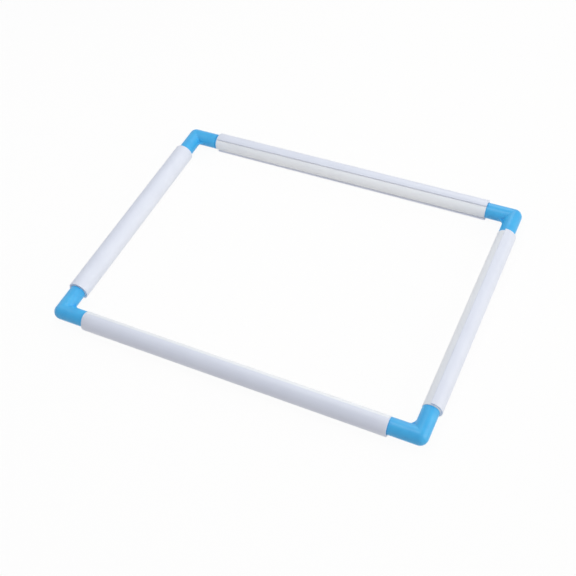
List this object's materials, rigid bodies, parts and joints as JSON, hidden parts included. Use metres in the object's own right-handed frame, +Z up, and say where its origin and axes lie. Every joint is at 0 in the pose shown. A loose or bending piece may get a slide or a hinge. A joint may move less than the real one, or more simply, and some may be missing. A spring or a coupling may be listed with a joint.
{
  "type": "clip embroidery hoop",
  "caption": "Rectangular frame of round tubes pushed onto moulded corner elbows, with C-shaped clips that snap over the tubes to hold cloth taut for stitching.",
  "frame": {"origin": "middle of the frame, on the surface that it lies on", "axes": "+X along the long sides, to the right; +Y across the frame, to the back; +Z up"},
  "size_m": [0.4048, 0.3048, 0.0215],
  "materials": {
    "elbow_blue": "glossy moulded",
    "tube_white": "satin extruded",
    "clip_white": "satin extruded"
  },
  "bodies": {
    "front_left_elbow": {"front_left_elbow": "elbow_blue"},
    "front_right_elbow": {"front_right_elbow": "elbow_blue"},
    "back_right_elbow": {"back_right_elbow": "elbow_blue"},
    "back_left_elbow": {"back_left_elbow": "elbow_blue"},
    "front_tube": {"front_tube": "tube_white"},
    "right_tube": {"right_tube": "tube_white"},
    "back_tube": {"back_tube": "tube_white"},
    "left_tube": {"left_tube": "tube_white"},
    "front_clip": {"front_clip": "clip_white"},
    "right_clip": {"right_clip": "clip_white"},
    "back_clip": {"back_clip": "clip_white"},
    "left_clip": {"left_clip": "clip_white"}
  },
  "joints": [
    {"name": "right_side_pull", "type": "slide", "parent": "front_left_elbow", "child": "front_right_elbow", "axis": [1, 0, 0], "range_m": [0, 0.045]},
    {"name": "back_side_pull", "type": "slide", "parent": "front_left_elbow", "child": "back_left_elbow", "axis": [0, 1, 0], "range_m": [0, 0.045]},
    {"name": "back_right_pull", "type": "slide", "parent": "front_right_elbow", "child": "back_right_elbow", "axis": [0, 1, 0], "range_m": [0, 0.045]},
    {"name": "front_tube_turn", "type": "hinge", "parent": "front_left_elbow", "child": "front_tube", "pos_m": [0, -0.1417, 0.01075], "axis": [-1, 0, 0], "continuous": true},
    {"name": "right_tube_turn", "type": "hinge", "parent": "front_right_elbow", "child": "right_tube", "pos_m": [0.1917, 0, 0.01075], "axis": [0, -1, 0], "continuous": true},
    {"name": "back_tube_turn", "type": "hinge", "parent": "back_left_elbow", "child": "back_tube", "pos_m": [0, 0.1417, 0.01075], "axis": [1, 0, 0], "continuous": true},
    {"name": "left_tube_turn", "type": "hinge", "parent": "front_left_elbow", "child": "left_tube", "pos_m": [-0.1917, 0, 0.01075], "axis": [0, 1, 0], "continuous": true},
    {"name": "front_clip_snap_off", "type": "slide", "parent": "front_tube", "child": "front_clip", "axis": [0, -0.8988, -0.4384], "range_m": [0, 0.066]},
    {"name": "right_clip_snap_off", "type": "slide", "parent": "right_tube", "child": "right_clip", "axis": [0.8829, 0, -0.4695], "range_m": [0, 0.066]},
    {"name": "back_clip_snap_off", "type": "slide", "parent": "back_tube", "child": "back_clip", "axis": [0, 0.9903, -0.1392], "range_m": [0, 0.066]},
    {"name": "left_clip_snap_off", "type": "slide", "parent": "left_tube", "child": "left_clip", "axis": [0.5, 0, 0.866], "range_m": [0, 0.066]}
  ],
  "couplings": [
    {"joint": "back_right_pull", "follows": "back_side_pull", "ratio": 1}
  ]
}
